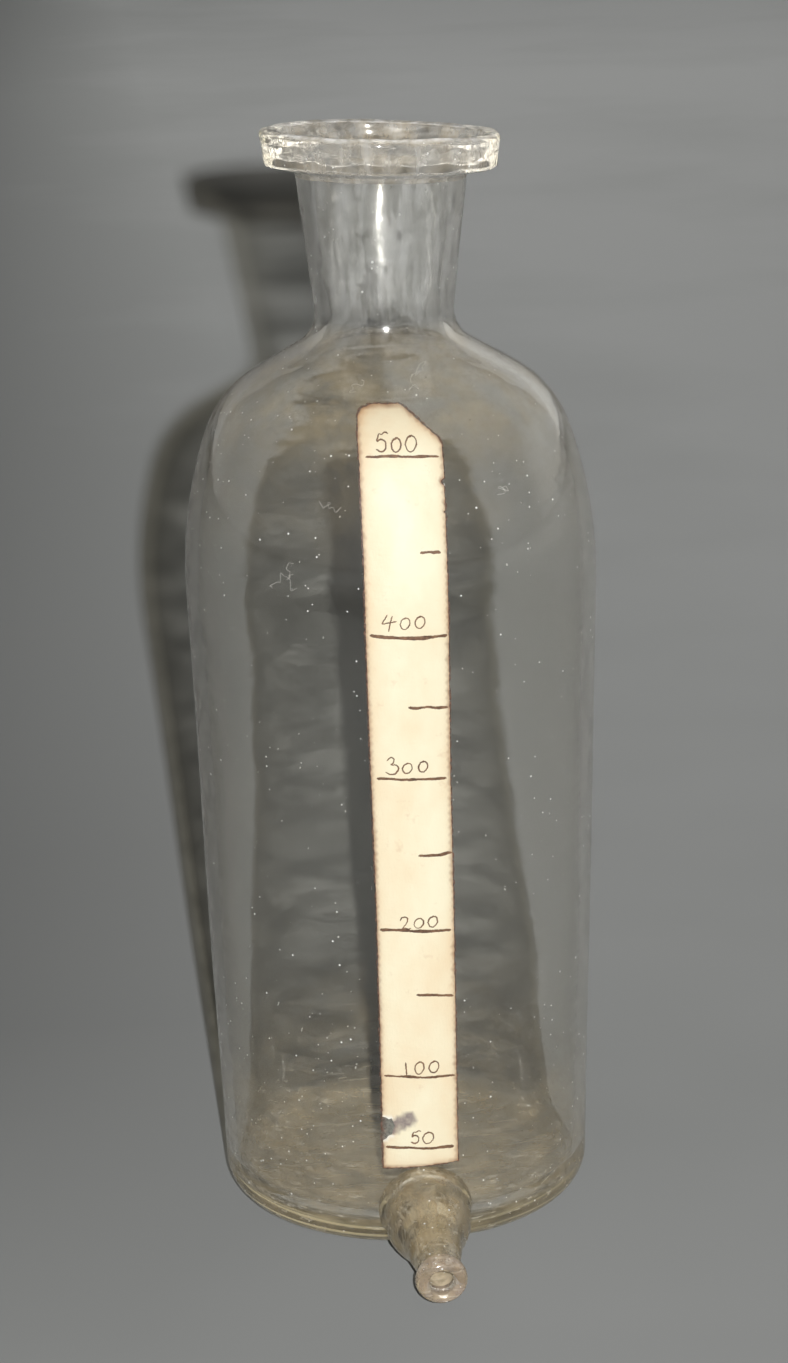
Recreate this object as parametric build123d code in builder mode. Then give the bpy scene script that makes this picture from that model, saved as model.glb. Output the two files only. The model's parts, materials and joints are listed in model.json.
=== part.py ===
"""Graduated aspirator bottle: a blown glass bottle with a flared lip and an outlet nozzle low on
its front, and a pasted paper strip with a handwritten millilitre scale.

Millimetres. The origin is the centre of the flat base, +Z runs up the bottle's axis, and the
nozzle points along -Y, drooping a little.
"""

import os
from math import asin, cos, degrees, radians, sin, tan

from build123d import *

# Heights on the bottle's axis.
TOTAL_HEIGHT = 200.0
NECK_TOP = 191.8
SHOULDER_HEIGHT = 116.4

# Outer surface: a wall that widens upward, a shoulder of two arcs and a slope, and a neck.
BASE_RADIUS = 34.0
SHOULDER_RADIUS = 37.5
HEEL_RADIUS = 7.0
LOWER_SHOULDER_RADIUS = 80.0
LOWER_SHOULDER_TURN = 21.3
UPPER_SHOULDER_RADIUS = 20.4
UPPER_SHOULDER_TURN = 40.0
SLOPE_LENGTH = 9.6
NECK_ROOT_RADIUS = 6.65
NECK_LEAN = 6.2

# Inner surface.
WALL = 2.3
FLOOR = 4.6
INNER_HEEL_RADIUS = 5.0
BORE_LEAN = 4.2

# Lip: a thick ring of glass on the neck, hollowed like a shallow cup.
LIP_RADIUS = 21.4
LIP_UNDERSIDE_RADIUS = 20.2
LIP_UNDERSIDE_RISE = 1.6
LIP_EDGE = 1.3
MOUTH_RADIUS = 18.2
MOUTH_EDGE = 0.6
CUP_BULGE = 1.4

# Nozzle: a bell that narrows to a parallel neck, with a bead at its tip. Distances along the
# nozzle start where its axis crosses the bottle's wall.
NOZZLE_HEIGHT = 8.4
NOZZLE_DROOP = 6.0
BELL_RADIUS = 8.0
BELL_RIM = 3.0
BELL_LENGTH = 17.0
NOZZLE_RADIUS = 3.7
BEAD_START = 22.4
BEAD_RADIUS = 4.6
BEAD_FACE_RADIUS = 3.4
NOZZLE_LENGTH = 26.0
WALL_HOLE_RADIUS = 3.6
TAPER_LENGTH = 12.0
BORE_RADIUS = 2.4
SINK = 12.0

# Gum, paper and ink, stacked outward from the glass, and the outline of the strip from the front.
GUM = 0.06
PAPER = 0.18
INK = 0.04
STRIP_BOTTOM = 17.0
STRIP_TOP = 155.0
STRIP_LEFT = -7.4
STRIP_TOP_LEFT = -8.0
STRIP_RIGHT = 6.0
CLIP_START = -0.3
CLIP_END = 149.5
STRIP_CORNER = 1.5
GUM_MARGIN = 0.5
SKIN_SECTOR = 44.0

# Handwritten scale: heights of the lines, and the figures that stand on the numbered ones.
NUMBERED_LINES = {"500": 146.9, "400": 116.8, "300": 90.9, "200": 62.7, "100": 34.8, "50": 20.9}
HALFWAY_LINES = (131.1, 103.8, 76.8, 50.1)
LINE_LEFT = -6.9
LINE_RIGHT = 5.5
HALFWAY_LEFT = 0.0
PEN = 0.45
FIGURE_HEIGHT = 2.9
FIGURE_WIDTH = 1.7
FIGURE_PITCH = 2.4
FIGURE_GAP = 0.7
FIGURES_CENTRE = -1.5

lean = degrees(asin((SHOULDER_RADIUS - BASE_RADIUS) / SHOULDER_HEIGHT))
slope_lean = LOWER_SHOULDER_TURN + UPPER_SHOULDER_TURN - lean

nozzle_root = Vector(0, -BASE_RADIUS - NOZZLE_HEIGHT * tan(radians(lean)), NOZZLE_HEIGHT)
nozzle_direction = Vector(0, -cos(radians(NOZZLE_DROOP)), -sin(radians(NOZZLE_DROOP)))
nozzle_axis = Axis(nozzle_root, nozzle_direction)
across_nozzle = Plane(nozzle_root, x_dir=(1, 0, 0), z_dir=nozzle_direction)
along_nozzle = Plane(nozzle_root, x_dir=(1, 0, 0), z_dir=Vector(1, 0, 0).cross(nozzle_direction))


def glass_outline(depth, floor, heel, neck_lean):
    """Half outline of the surface that lies depth inside the bottle's outer one, closed on the
    axis: floor, heel, wall, shoulder, neck root and neck."""
    slant = radians(lean)
    heel_top = floor + heel * (1 - sin(slant))
    wall_radius = BASE_RADIUS - depth / cos(slant) + heel_top * tan(slant)
    shoulder = (SHOULDER_RADIUS - depth * cos(slant), SHOULDER_HEIGHT + depth * sin(slant))
    bottom = Line((0, floor), (wall_radius - heel * cos(slant), floor))
    heel_arc = JernArc(bottom @ 1, (1, 0), heel, 90 - lean)
    wall = Line(heel_arc @ 1, shoulder)
    lower = JernArc(wall @ 1, wall % 1, LOWER_SHOULDER_RADIUS - depth, LOWER_SHOULDER_TURN)
    upper = JernArc(lower @ 1, lower % 1, UPPER_SHOULDER_RADIUS - depth, UPPER_SHOULDER_TURN)
    slope = Line(upper @ 1, (upper @ 1) + (upper % 1) * SLOPE_LENGTH)
    root = JernArc(slope @ 1, slope % 1, NECK_ROOT_RADIUS + depth, -(slope_lean + neck_lean))
    neck_rise = NECK_TOP - (root @ 1).Y
    neck_radius = (root @ 1).X + neck_rise * tan(radians(neck_lean))
    Polyline(root @ 1, (neck_radius, NECK_TOP), (0, NECK_TOP), (0, floor))


def outer_outline(depth=0.0):
    """The bottle's outer outline, or the one that lies depth inside it."""
    glass_outline(depth, 0.0, HEEL_RADIUS, NECK_LEAN)


def narrowing(start, wide, length, narrow):
    """S-shaped narrowing of two equal arcs along +Y, from the radius wide to the radius narrow."""
    drop = wide - narrow
    turn = 2 * degrees(asin(drop / (length**2 + drop**2) ** 0.5))
    radius = length / 2 / sin(radians(turn))
    first = JernArc((wide, start), (0, 1), radius, turn)
    return JernArc(first @ 1, first % 1, radius, -turn)


def front_section(inner, outer):
    """Section of the layer between two distances outside the glass, at the left side of the
    sector that the strip lies in."""
    start = radians(-90 - SKIN_SECTOR / 2)
    side = Plane((0, 0, 0), x_dir=(cos(start), sin(start), 0), z_dir=(sin(start), -cos(start), 0))
    with BuildSketch(side) as section:
        with BuildLine():
            outer_outline(-outer)
        make_face()
        with BuildLine():
            outer_outline(-inner)
        make_face(mode=Mode.SUBTRACT)
    return section.sketch


def strip_outline(margin):
    """Strip as seen from the front: wider at the top, with its top right corner clipped off."""
    Polyline(
        (STRIP_LEFT + margin, STRIP_BOTTOM + margin),
        (STRIP_RIGHT - margin, STRIP_BOTTOM + margin),
        (STRIP_RIGHT - margin, CLIP_END - margin),
        (CLIP_START - margin, STRIP_TOP - margin),
        (STRIP_TOP_LEFT + margin, STRIP_TOP - margin),
        close=True,
    )


def zero(x, z):
    centre = (x + FIGURE_WIDTH / 2, z + FIGURE_HEIGHT / 2)
    EllipticalCenterArc(centre, FIGURE_WIDTH / 2, FIGURE_HEIGHT / 2, arc_size=360)


def one(x, z):
    middle = x + FIGURE_WIDTH / 2
    Line((middle, z), (middle, z + FIGURE_HEIGHT))


def two(x, z):
    right = x + FIGURE_WIDTH
    crown = z + FIGURE_HEIGHT
    bend = z + 0.7 * FIGURE_HEIGHT
    ThreePointArc((x, bend), (x + FIGURE_WIDTH / 2, crown), (right, bend))
    Polyline((right, bend), (x, z), (right, z))


def three(x, z):
    right = x + FIGURE_WIDTH
    waist = (x + 0.4 * FIGURE_WIDTH, z + FIGURE_HEIGHT / 2)
    ThreePointArc((x, z + 0.9 * FIGURE_HEIGHT), (right, z + 0.75 * FIGURE_HEIGHT), waist)
    ThreePointArc(waist, (right, z + 0.25 * FIGURE_HEIGHT), (x, z + 0.1 * FIGURE_HEIGHT))


def four(x, z):
    stem = x + 0.75 * FIGURE_WIDTH
    bar = z + 0.35 * FIGURE_HEIGHT
    Polyline((stem, z), (stem, z + FIGURE_HEIGHT), (x, bar), (x + FIGURE_WIDTH, bar))


def five(x, z):
    crown = z + FIGURE_HEIGHT
    waist = (x, z + 0.6 * FIGURE_HEIGHT)
    Polyline((x + FIGURE_WIDTH, crown), (x, crown), waist)
    ThreePointArc(waist, (x + FIGURE_WIDTH, z + 0.3 * FIGURE_HEIGHT), (x, z + 0.05))


FIGURES = {"0": zero, "1": one, "2": two, "3": three, "4": four, "5": five}


# The blown bottle: floor, wall, shoulder and neck, with the hole that the nozzle covers.
with BuildPart() as bottle_body:
    with BuildSketch(Plane.XZ):
        with BuildLine():
            outer_outline()
        make_face()
        with BuildLine():
            glass_outline(WALL, FLOOR, INNER_HEEL_RADIUS, BORE_LEAN)
        make_face(mode=Mode.SUBTRACT)
    revolve(axis=Axis.Z)
    with BuildSketch(across_nozzle):
        Circle(WALL_HOLE_RADIUS)
    extrude(amount=SINK, both=True, mode=Mode.SUBTRACT)
bottle_body.part.label = "bottle_body"

neck_face = bottle_body.faces().sort_by(Axis.Z)[-1]
neck_bore_radius, neck_radius = sorted(edge.radius for edge in neck_face.edges())

# The lip, fused to the end of the neck.
with BuildPart() as lip_ring:
    with BuildSketch(Plane.XZ):
        with BuildLine():
            under = Polyline(
                (neck_bore_radius, NECK_TOP),
                (neck_radius, NECK_TOP),
                (LIP_UNDERSIDE_RADIUS, NECK_TOP + LIP_UNDERSIDE_RISE),
            )
            lower_edge = ThreePointArc(
                under @ 1,
                (LIP_RADIUS - 0.25 * LIP_EDGE, NECK_TOP + LIP_UNDERSIDE_RISE + 0.35 * LIP_EDGE),
                (LIP_RADIUS, NECK_TOP + LIP_UNDERSIDE_RISE + LIP_EDGE),
            )
            face = Line(lower_edge @ 1, (LIP_RADIUS, TOTAL_HEIGHT - LIP_EDGE))
            upper_edge = JernArc(face @ 1, (0, 1), LIP_EDGE, 90)
            land = Line(upper_edge @ 1, (MOUTH_RADIUS + MOUTH_EDGE, TOTAL_HEIGHT))
            inner_edge = JernArc(land @ 1, (-1, 0), MOUTH_EDGE, 90)
            SagittaArc(inner_edge @ 1, under @ 0, CUP_BULGE)
        make_face()
    revolve(axis=Axis.Z)
lip_ring.part.label = "lip_ring"

# The nozzle's bell and neck, cut to the bottle's outer surface.
with BuildPart() as outlet_nozzle:
    with BuildSketch(along_nozzle):
        with BuildLine():
            back = Line((WALL_HOLE_RADIUS, -SINK), (BELL_RADIUS, -SINK))
            rim = Line(back @ 1, (BELL_RADIUS, BELL_RIM))
            bell = narrowing(BELL_RIM, BELL_RADIUS, BELL_LENGTH, NOZZLE_RADIUS)
            tip = Polyline(bell @ 1, (NOZZLE_RADIUS, BEAD_START), (BORE_RADIUS, BEAD_START))
            taper = narrowing(0, WALL_HOLE_RADIUS, TAPER_LENGTH, BORE_RADIUS)
            Line(tip @ 1, taper @ 1)
            Line((WALL_HOLE_RADIUS, 0), back @ 0)
        make_face()
    revolve(axis=nozzle_axis)
    with BuildSketch(Plane.XZ):
        with BuildLine():
            outer_outline()
        make_face()
    revolve(axis=Axis.Z, mode=Mode.SUBTRACT)
outlet_nozzle.part.label = "outlet_nozzle"

# The bead that keeps a rubber tube on the nozzle.
with BuildPart() as nozzle_bead:
    with BuildSketch(along_nozzle):
        with BuildLine():
            root = Line((BORE_RADIUS, BEAD_START), (NOZZLE_RADIUS, BEAD_START))
            bulge = ThreePointArc(
                root @ 1,
                (BEAD_RADIUS, (BEAD_START + NOZZLE_LENGTH) / 2),
                (BEAD_FACE_RADIUS, NOZZLE_LENGTH),
            )
            Polyline(bulge @ 1, (BORE_RADIUS, NOZZLE_LENGTH), root @ 0)
        make_face()
    revolve(axis=nozzle_axis)
nozzle_bead.part.label = "nozzle_bead"

# The film of dried gum that holds the strip to the glass.
with BuildPart() as gum_film:
    revolve(front_section(0.0, GUM), axis=Axis.Z, revolution_arc=SKIN_SECTOR)
    with BuildSketch(Plane.XZ):
        with BuildLine():
            strip_outline(GUM_MARGIN)
        make_face()
    extrude(amount=BASE_RADIUS * 2, mode=Mode.INTERSECT)
gum_film.part.label = "gum_film"

# The paper strip.
with BuildPart() as paper_scale:
    revolve(front_section(GUM, GUM + PAPER), axis=Axis.Z, revolution_arc=SKIN_SECTOR)
    with BuildSketch(Plane.XZ) as strip:
        with BuildLine():
            strip_outline(0.0)
        make_face()
        fillet(strip.vertices().group_by(Axis.Y)[-1].sort_by(Axis.X)[0], STRIP_CORNER)
    extrude(amount=BASE_RADIUS * 2, mode=Mode.INTERSECT)
paper_scale.part.label = "paper_scale"

ink_section = front_section(GUM + PAPER, GUM + PAPER + INK)

# The inked lines across the strip, the shorter ones halfway between, and the figures.
with BuildPart() as ink_numbered_lines:
    revolve(ink_section, axis=Axis.Z, revolution_arc=SKIN_SECTOR)
    with BuildSketch(Plane.XZ):
        for height in NUMBERED_LINES.values():
            with Locations(((LINE_LEFT + LINE_RIGHT) / 2, height)):
                Rectangle(LINE_RIGHT - LINE_LEFT, PEN)
    extrude(amount=BASE_RADIUS * 2, mode=Mode.INTERSECT)
ink_numbered_lines.part.label = "ink_numbered_lines"

with BuildPart() as ink_halfway_lines:
    revolve(ink_section, axis=Axis.Z, revolution_arc=SKIN_SECTOR)
    with BuildSketch(Plane.XZ):
        for height in HALFWAY_LINES:
            with Locations(((HALFWAY_LEFT + LINE_RIGHT) / 2, height)):
                Rectangle(LINE_RIGHT - HALFWAY_LEFT, PEN)
    extrude(amount=BASE_RADIUS * 2, mode=Mode.INTERSECT)
ink_halfway_lines.part.label = "ink_halfway_lines"

with BuildPart() as ink_figures:
    revolve(ink_section, axis=Axis.Z, revolution_arc=SKIN_SECTOR)
    with BuildSketch(Plane.XZ):
        for number, height in NUMBERED_LINES.items():
            row_width = FIGURE_PITCH * (len(number) - 1) + FIGURE_WIDTH
            for place, figure in enumerate(number):
                left = FIGURES_CENTRE - row_width / 2 + place * FIGURE_PITCH
                with BuildLine() as strokes:
                    FIGURES[figure](left, height + FIGURE_GAP)
                for stroke in strokes.edges():
                    trace(stroke, PEN)
    extrude(amount=BASE_RADIUS * 2, mode=Mode.INTERSECT)
ink_figures.part.label = "ink_figures"


os.makedirs("parts", exist_ok=True)
for piece in (
    bottle_body,
    lip_ring,
    outlet_nozzle,
    nozzle_bead,
    gum_film,
    paper_scale,
    ink_numbered_lines,
    ink_halfway_lines,
    ink_figures,
):
    export_step(piece.part, f"parts/{piece.part.label}.step")
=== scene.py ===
"""Graduated aspirator bottle: hand-blown glass with a flared lip and a low outlet nozzle, and a
pasted paper strip with a handwritten millilitre scale.

Shapes are worked out in millimetres in the frame's own axes, and become metres when a mesh is
made. Angles round the bottle are in radians from the nozzle's side, growing towards +X.
"""

import json
from math import asin, atan2, ceil, cos, hypot, pi, radians, sin, tan

import bmesh
import bpy
import numpy as np
from mathutils import Euler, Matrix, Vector
from mathutils.geometry import delaunay_2d_cdt
from numpy.linalg import norm


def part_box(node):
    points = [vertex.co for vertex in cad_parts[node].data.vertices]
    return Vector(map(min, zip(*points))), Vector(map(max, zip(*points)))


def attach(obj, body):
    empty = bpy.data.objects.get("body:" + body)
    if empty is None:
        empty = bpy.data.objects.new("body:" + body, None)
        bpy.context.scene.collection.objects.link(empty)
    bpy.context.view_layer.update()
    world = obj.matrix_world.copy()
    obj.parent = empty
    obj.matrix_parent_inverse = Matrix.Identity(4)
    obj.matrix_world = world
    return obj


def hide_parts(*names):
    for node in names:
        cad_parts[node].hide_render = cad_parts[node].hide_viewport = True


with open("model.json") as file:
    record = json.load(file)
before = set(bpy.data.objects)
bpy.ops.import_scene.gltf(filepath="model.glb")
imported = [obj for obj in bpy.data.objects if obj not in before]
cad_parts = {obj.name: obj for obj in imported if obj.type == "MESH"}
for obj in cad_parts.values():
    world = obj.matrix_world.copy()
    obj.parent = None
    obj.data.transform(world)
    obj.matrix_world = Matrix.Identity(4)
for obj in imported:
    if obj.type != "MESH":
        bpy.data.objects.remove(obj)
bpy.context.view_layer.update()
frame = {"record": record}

MM = 0.001
scene = bpy.context.scene

# ---- sizes, in millimetres
lip_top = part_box("lip_ring")[1] / MM
neck_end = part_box("bottle_body")[1].z / MM
outlet = next(mount for mount in frame["record"]["mounts"] if mount["name"] == "outlet_bore")
outlet_axis = Vector(outlet["axis"]).normalized()
NOZZLE_TO_MOUNT = 19.0
nozzle_root = np.array(Vector(outlet["pos_m"]) / MM - outlet_axis * NOZZLE_TO_MOUNT)
nozzle_axis = np.array(outlet_axis)
nozzle_across = np.array((1.0, 0.0, 0.0))
nozzle_up = np.array(outlet_axis.cross(Vector(nozzle_across)))

# The bottle's outlines.
BASE_RADIUS = 34.0
SHOULDER_RADIUS = 37.5
SHOULDER_HEIGHT = 116.4
HEEL_RADIUS = 7.0
LOWER_SHOULDER = (80.0, 21.3)
UPPER_SHOULDER = (20.4, 40.0)
SLOPE_LENGTH = 9.6
NECK_ROOT_RADIUS = 6.65
NECK_LEAN = 6.2
WALL = 2.3
FLOOR = 4.6
INNER_HEEL_RADIUS = 5.0
BORE_LEAN = 4.2
WALL_LEAN = asin((SHOULDER_RADIUS - BASE_RADIUS) / SHOULDER_HEIGHT)

# Lip.
LIP_RADIUS = lip_top.x
MOUTH_RADIUS = 18.2
LIP_UNDERSIDE = (20.1, 2.0)

# Nozzle: radius at distances from the wall along its axis.
NOZZLE_SHAPE = ((-9, 7.95), (1.2, 8.0), (2.6, 7.75), (4.2, 7.8), (7.8, 6.95), (11.6, 5.45),
                (15.4, 4.65), (20.0, 3.85), (22.4, 3.7))
NOZZLE_FOOT = 8.5
NOZZLE_WELD = 0.5
NOZZLE_FOOT_FADE = 0.5
WALL_HOLE_RADIUS = 3.6
TAPER_LENGTH = 12.0
BORE_RADIUS = outlet["dims"]["r_mm"]
BEAD_START = 22.4
BEAD_RADIUS = 4.6
BEAD_DISH = 0.75
BEAD_COLUMNS = 64
NOZZLE_LENGTH = 26.0

# Gum, paper and ink: distances outward from the glass.
GUM = (0.01, 0.05)
PAPER = (0.06, 0.24)
INK = (0.245, 0.285)

# Meshing.
COLUMNS = 144
RING_STEP = 1.7
NECK_RING_STEP = 0.8
NECK_START = 160.0
RING_TURN = radians(7)
PATCH_COLUMNS = 9
JOINT_GAP = 0.02

# Noise that isn't stretched, and the colour of the light that thick glass lets through.
EVEN = (1, 1, 1)
STRAW = (0.86, 0.77, 0.50, 1)


# ---- outlines
class Outline:
    """A line drawn in the plane of radius and height, from runs and arcs."""

    STEP = 0.1

    def __init__(self, start, heading=0.0):
        self.points = [start]
        self.heading = heading

    def run(self, length):
        radius, height = self.points[-1]
        self.to(radius + length * cos(self.heading), height + length * sin(self.heading))

    def to(self, radius, height):
        start = self.points[-1]
        across, up = radius - start[0], height - start[1]
        count = max(1, ceil(hypot(across, up) / self.STEP))
        self.heading = atan2(up, across)
        for k in range(1, count + 1):
            self.points.append((start[0] + across * k / count, start[1] + up * k / count))

    def arc(self, radius, turn):
        """An arc that turns left by turn radians, or right where turn is negative."""
        count = max(2, ceil(radius * abs(turn) / self.STEP))
        (across, up), old = self.points[-1], self.heading
        radius = radius if turn > 0 else -radius
        across, up = across - radius * sin(old), up + radius * cos(old)
        for angle in (old + turn * k / count for k in range(1, count + 1)):
            self.points.append((across + radius * sin(angle), up - radius * cos(angle)))
        self.heading = old + turn


class Path:
    """An outline as radius and height against the distance along it."""

    def __init__(self, points):
        points = np.array(points, float)
        self.radius, self.height = points[:, 0], points[:, 1]
        steps = np.hypot(np.diff(self.radius), np.diff(self.height))
        self.along = np.concatenate([[0.0], np.cumsum(steps)])
        self.rising = self.height > self.height[0] + 1e-6

    def at(self, along):
        return np.interp(along, self.along, self.radius), np.interp(along, self.along, self.height)

    def radius_at(self, height):
        """Radius at a height above the heel's lowest point, where the outline only rises."""
        return np.interp(height, self.height[self.rising], self.radius[self.rising])

    def along_at(self, height):
        return np.interp(height, self.height[self.rising], self.along[self.rising])

    def lean_at(self, height):
        """Slope of the radius against the height."""
        return (self.radius_at(height + 0.2) - self.radius_at(height - 0.2)) / 0.4

    def rings(self):
        """Distances at which the outline gets a ring of points: closer where it bends."""
        heading = np.unwrap(np.arctan2(np.diff(self.height), np.diff(self.radius)))
        turn = np.abs(np.diff(heading, prepend=heading[0]))
        step = np.where(self.height[1:] > NECK_START, NECK_RING_STEP, RING_STEP)
        pace = np.concatenate([[0.0], np.cumsum(np.diff(self.along) / step + turn / RING_TURN)])
        return np.interp(np.linspace(0, pace[-1], ceil(pace[-1]) + 1), pace, self.along)


def bottle_path(depth, floor, heel, neck_lean):
    """The surface that lies depth inside the bottle's outer one, from the floor to the neck."""
    heel_top = floor + heel * (1 - sin(WALL_LEAN))
    wall_radius = BASE_RADIUS - depth / cos(WALL_LEAN) + heel_top * tan(WALL_LEAN)
    line = Outline((0.0, floor))
    line.to(wall_radius - heel * cos(WALL_LEAN), floor)
    line.arc(heel, pi / 2 - WALL_LEAN)
    line.to(SHOULDER_RADIUS - depth * cos(WALL_LEAN), SHOULDER_HEIGHT + depth * sin(WALL_LEAN))
    for radius, turn in (LOWER_SHOULDER, UPPER_SHOULDER):
        line.arc(radius - depth, radians(turn))
    line.run(SLOPE_LENGTH)
    line.arc(NECK_ROOT_RADIUS + depth, pi / 2 - radians(neck_lean) - line.heading)
    radius, height = line.points[-1]
    line.to(radius + (neck_end - height) * tan(radians(neck_lean)), neck_end)
    return Path(line.points)


outside = bottle_path(0.0, 0.0, HEEL_RADIUS, NECK_LEAN)
inside = bottle_path(WALL, FLOOR, INNER_HEEL_RADIUS, BORE_LEAN)


# ---- unevenness
def waves(points, shortest, longest, seed, count=14):
    """Smooth noise at points, from about -1 to 1, summed from seeded plane waves."""
    random = np.random.default_rng(seed)
    total = np.zeros(len(points))
    for _ in range(count):
        direction = random.normal(size=3)
        direction *= 2 * pi / (norm(direction) * random.uniform(shortest, longest))
        total += np.sin(points @ direction + random.uniform(0, 2 * pi))
    return total / (0.5 * count) ** 0.5 / 1.6


def ease(low, high, values):
    """0 below low, 1 above high, and a smooth rise between."""
    share = np.clip((np.asarray(values, float) - low) / (high - low), 0, 1)
    return share * share * (3 - 2 * share)


OUT_OF_ROUND = 0.35
LIP_TILT = np.array([tan(radians(2.1)), tan(radians(2.0))])
TILT_HEIGHT = 16.0


def settle(points):
    """The hand-blown bottle's shape: a little out of round, with a lip that isn't level."""
    points = np.array(points, float).reshape(-1, 3)
    sink = OUT_OF_ROUND * (waves(points, 70, 160, seed=5) - 1) / 2
    height = points[:, 2]
    points[:, :2] *= (1 + np.clip(sink, -OUT_OF_ROUND, 0) / SHOULDER_RADIUS)[:, None]
    drop = points[:, :2] @ LIP_TILT + LIP_RADIUS * norm(LIP_TILT)
    points[:, 2] -= drop * ease(neck_end - TILT_HEIGHT, neck_end, height)
    return points


def around(radius, height, angle):
    return np.stack([radius * np.sin(angle), -radius * np.cos(angle), height + 0 * angle], -1)


def inner_wander(angle, along):
    """How far the inner surface strays inward from its outline, none at the joints."""
    radius, height = inside.at(along)
    points = around(radius, height, angle)
    in_body = 1 - ease(158, 170, height)
    amount = in_body * (0.2 * waves(points, 50, 140, seed=11) + 0.02 * waves(points, 9, 24, seed=12))
    in_neck = 0.05 * waves(points, 12, 24, seed=13) + 0.06 * waves(points, 5, 8, seed=14)
    amount += (1 - in_body) * (in_neck + 0.03 * waves(points, 3.0, 4.6, seed=15))
    from_nozzle = norm(points - nozzle_root, axis=1)
    return amount * ease(0.5, 5, neck_end - height) * ease(6, 14, from_nozzle)


# ---- meshes
class Shell:
    """A closed mesh in the making: rows of points and the faces between them."""

    def __init__(self):
        self.points, self.faces, self.joint = [], [], []

    def row(self, points):
        first = len(self.points)
        self.points.extend(tuple(p) for p in points)
        return list(range(first, len(self.points)))

    def face(self, corners, joint=False):
        self.faces.append(corners)
        self.joint.append(joint)

    def strip(self, low, high, joint=False, closed=True):
        """Quads between two rows of the same length."""
        count = len(low)
        for k in range(count if closed else count - 1):
            n = (k + 1) % count
            self.face((low[k], low[n], high[n], high[k]), joint)

    def stack(self, rows):
        for low, high in zip(rows, rows[1:]):
            self.strip(low, high)

    def wrap(self, rows, joints=(), closed=True):
        """Strips between each row and the next, and the last and the first."""
        for k, (low, high) in enumerate(zip(rows, rows[1:] + rows[:1])):
            self.strip(low, high, k in joints, closed)

    def fan(self, centre, row):
        middle = self.row([centre])[0]
        for k in range(len(row)):
            self.face((middle, row[k], row[(k + 1) % len(row)]))

    def object(self, name, material, sharp=55.0):
        """The finished object: unused points dropped, faces turned outward, metres."""
        used = sorted({corner for face in self.faces for corner in face})
        place = {old: new for new, old in enumerate(used)}
        points = settle([self.points[k] for k in used]) * MM
        faces = [tuple(place[corner] for corner in face) for face in self.faces]
        mesh = bpy.data.meshes.new(name)
        mesh.from_pydata(points.tolist(), [], faces)
        mark = mesh.attributes.new("joint_face", "FLOAT", "FACE")
        mark.data.foreach_set("value", np.array(self.joint, float))
        return finish_mesh(mesh, material, sharp)


def add_object(name, data, place=(0, 0, 0), turn=(0, 0, 0)):
    made = bpy.data.objects.new(name, data)
    made.location = place
    made.rotation_euler = turn
    scene.collection.objects.link(made)
    return made


def finish_mesh(mesh, material, sharp):
    """Turns the faces outward, smooths the shading, and makes the piece."""
    shape = bmesh.new()
    shape.from_mesh(mesh)
    bmesh.ops.recalc_face_normals(shape, faces=shape.faces)
    shape.to_mesh(mesh)
    shape.free()
    mesh.polygons.foreach_set("use_smooth", [True] * len(mesh.polygons))
    mesh.set_sharp_from_angle(angle=radians(sharp))
    mesh.materials.append(material)
    mesh.update()
    return add_object(mesh.name, mesh)


def outer_spot(angle, along):
    radius, height = outside.at(along)
    return around(radius, height, angle)


def inner_spot(angle, along):
    radius, height = inside.at(along)
    return around(radius - inner_wander(angle, along), height, angle)


# ---- the nozzle's circle on the wall
def circle_on(path, radius):
    """Where a circle round the nozzle's axis meets a surface: distances along the nozzle,
    angles round the bottle, and distances along its outline."""
    low, high = np.full(len(nozzle_turns), -16.0), np.full(len(nozzle_turns), 6.0)
    for _ in range(40):
        middle = (low + high) / 2
        spot = nozzle_spot(radius, middle)
        beyond = np.hypot(spot[:, 0], spot[:, 1]) > path.radius_at(spot[:, 2])
        high = np.where(beyond, middle, high)
        low = np.where(beyond, low, middle)
    spot = nozzle_spot(radius, low)
    return low, np.arctan2(spot[:, 0], -spot[:, 1]), path.along_at(spot[:, 2])


def patch_frame(rings, low, high):
    """The edge of the patch of wall round the nozzle, as columns and rings, and as angles and
    distances along the outline."""
    side = PATCH_COLUMNS
    edge = [(column, low) for column in range(-side, side)]
    edge += [(side, ring) for ring in range(low, high)]
    edge += [(column, high) for column in range(side, -side, -1)]
    edge += [(-side, ring) for ring in range(high, low, -1)]
    columns, numbers = np.array(edge).T
    return edge, (columns * 2 * pi / COLUMNS, rings[numbers])


def wall_rows(shell, rings, spot, low, high, edge):
    """The rings of one surface, without the patch round the nozzle, and the patch's edge row."""
    angles = np.arange(COLUMNS) * 2 * pi / COLUMNS
    rows = [shell.row(spot(angles, np.full(COLUMNS, along))) for along in rings]
    for ring, (a, b) in enumerate(zip(rows, rows[1:])):
        for column in range(COLUMNS):
            signed = column if column < COLUMNS / 2 else column - COLUMNS
            if low <= ring < high and -PATCH_COLUMNS <= signed < PATCH_COLUMNS:
                continue
            n = (column + 1) % COLUMNS
            shell.face((a[column], a[n], b[n], b[column]))
    return rows, [rows[ring][column % COLUMNS] for column, ring in edge]


def spread(shell, spot, start, end, row, count, joint=False):
    """Rows that spread over a surface from a row at start to a closed line at end."""
    for k in range(1, count + 1):
        share = k / count
        angle = start[0] + (end[0] - start[0]) * share
        along = start[1] + (end[1] - start[1]) * share
        nearer = shell.row(spot(angle, along))
        shell.strip(row, nearer, joint)
        row = nearer
    return row


PATCH_TOP = 21.0
OUTER_PATCH_FOOT = 23.5
INNER_PATCH_FOOT = 20.5

outer_rings = outside.rings()[1:]
inner_rings = inside.rings()[1:]


def first_ring(rings, path, values, goal):
    """The first ring from where the path's values first reach a goal."""
    return int(np.argmax(rings >= path.along[np.argmax(values >= goal)]))


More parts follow.
